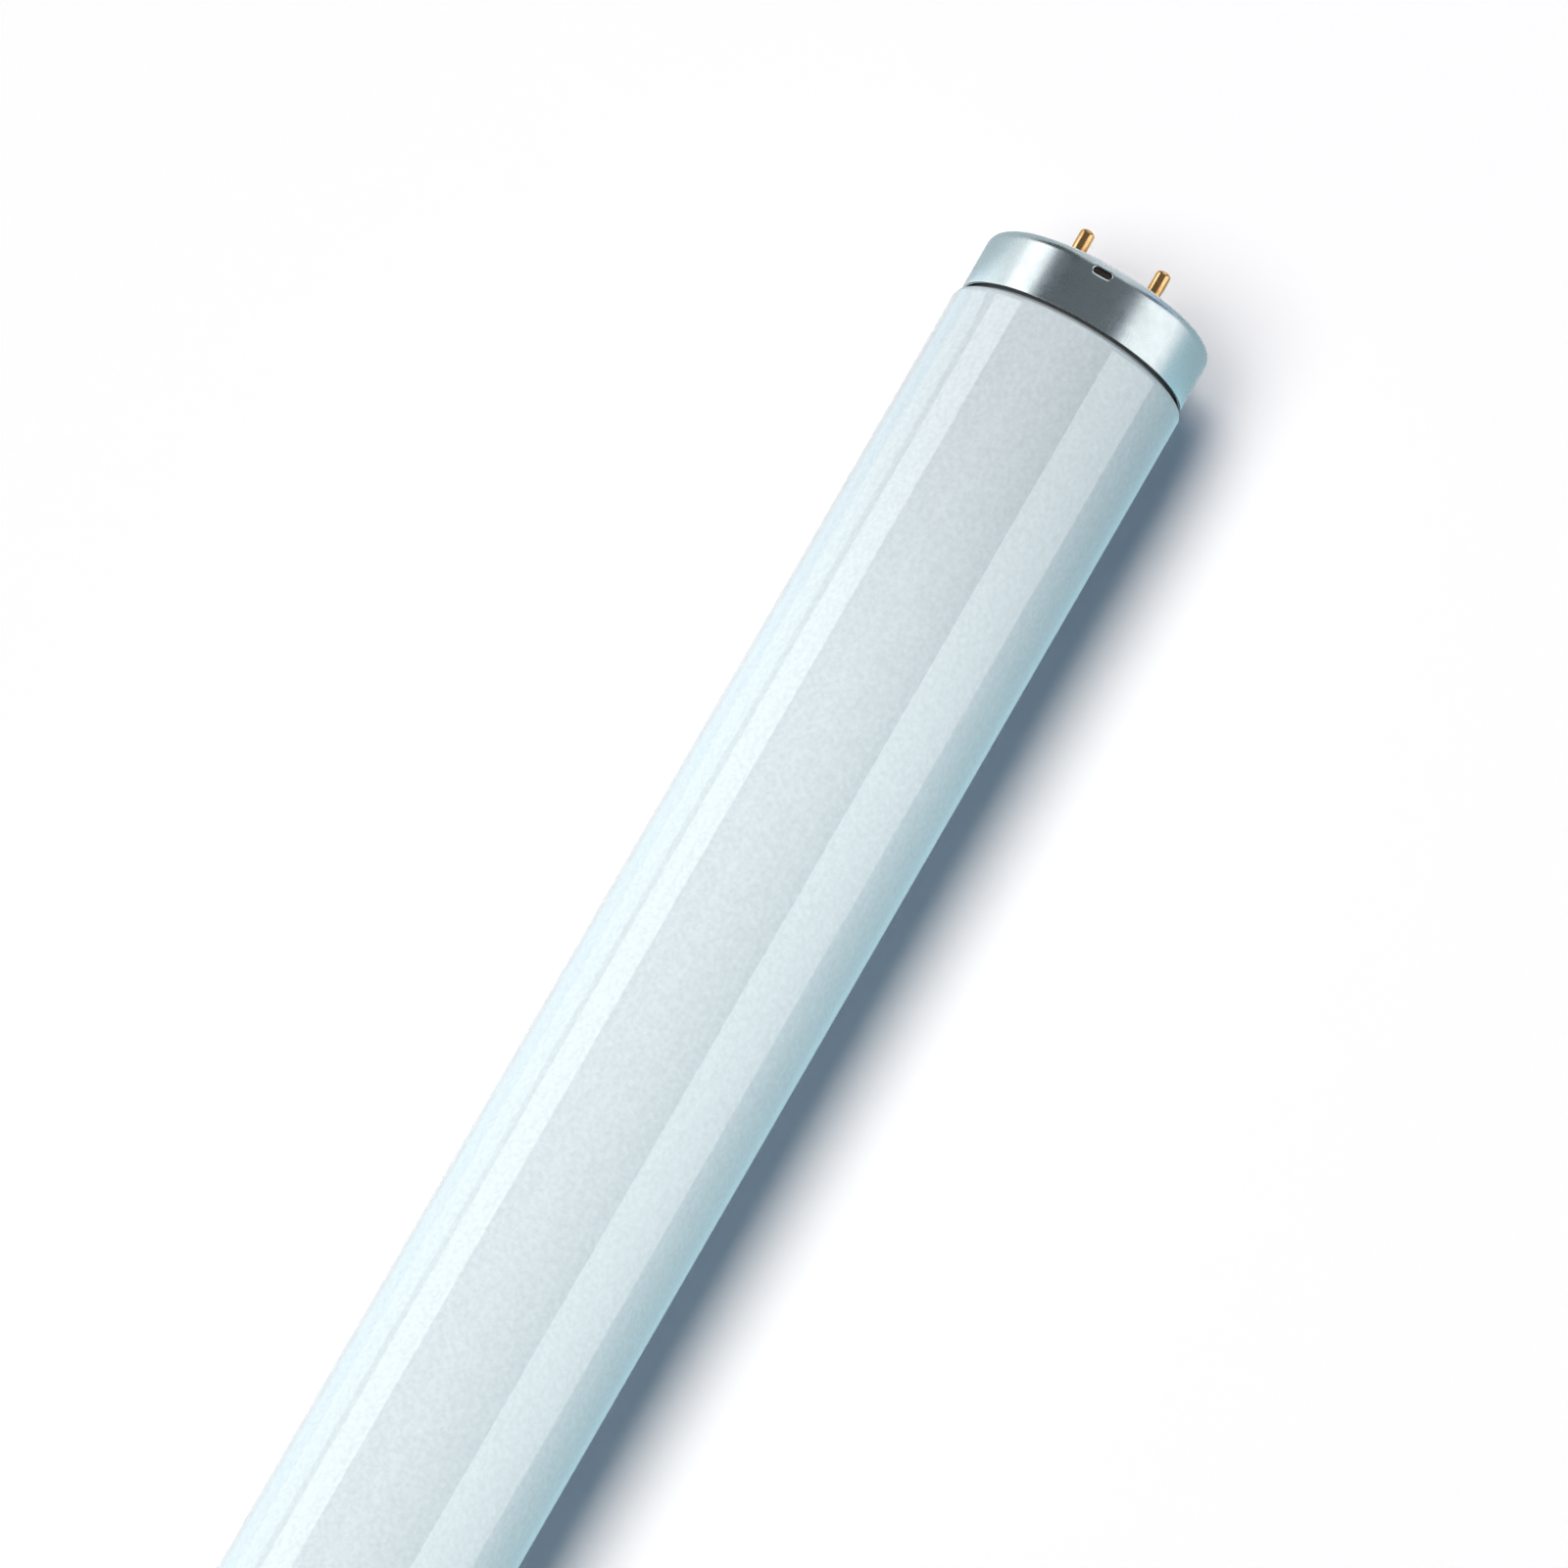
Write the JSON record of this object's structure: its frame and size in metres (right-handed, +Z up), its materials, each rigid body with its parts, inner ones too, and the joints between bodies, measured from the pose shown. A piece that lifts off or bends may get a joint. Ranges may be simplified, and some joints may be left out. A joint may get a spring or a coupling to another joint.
{
  "type": "fluorescent tube",
  "caption": "Straight fluorescent tube of white coated glass, with cemented aluminium end caps and brass contact pins that plug into lampholders.",
  "frame": {"origin": "middle of the lamp, on the axis of the tube", "axes": "+X along the tube towards the cap that the picture shows, +Z up, +Y along the line through the two pins of a cap"},
  "size_m": [0.604, 0.0378, 0.038],
  "materials": {
    "coated_glass": "clear polished glass over an even white powder coat, not see-through",
    "cap_aluminium": "satin, drawn",
    "phenolic": "dull dark brown laminate",
    "pin_brass": "bright, a little tarnished",
    "basing_cement": "dull, granular",
    "lead_wire": "plated wire"
  },
  "bodies": {
    "root": {"glass_bulb": "coated_glass", "right_cap_shell": "cap_aluminium", "left_cap_shell": "cap_aluminium", "right_insulator": "phenolic", "left_insulator": "phenolic", "right_front_pin": "pin_brass", "right_rear_pin": "pin_brass", "left_front_pin": "pin_brass", "left_rear_pin": "pin_brass", "right_cement_ring": "basing_cement", "left_cement_ring": "basing_cement", "right_front_lead_wire": "lead_wire", "right_rear_lead_wire": "lead_wire", "left_front_lead_wire": "lead_wire", "left_rear_lead_wire": "lead_wire"}
  },
  "joints": []
}
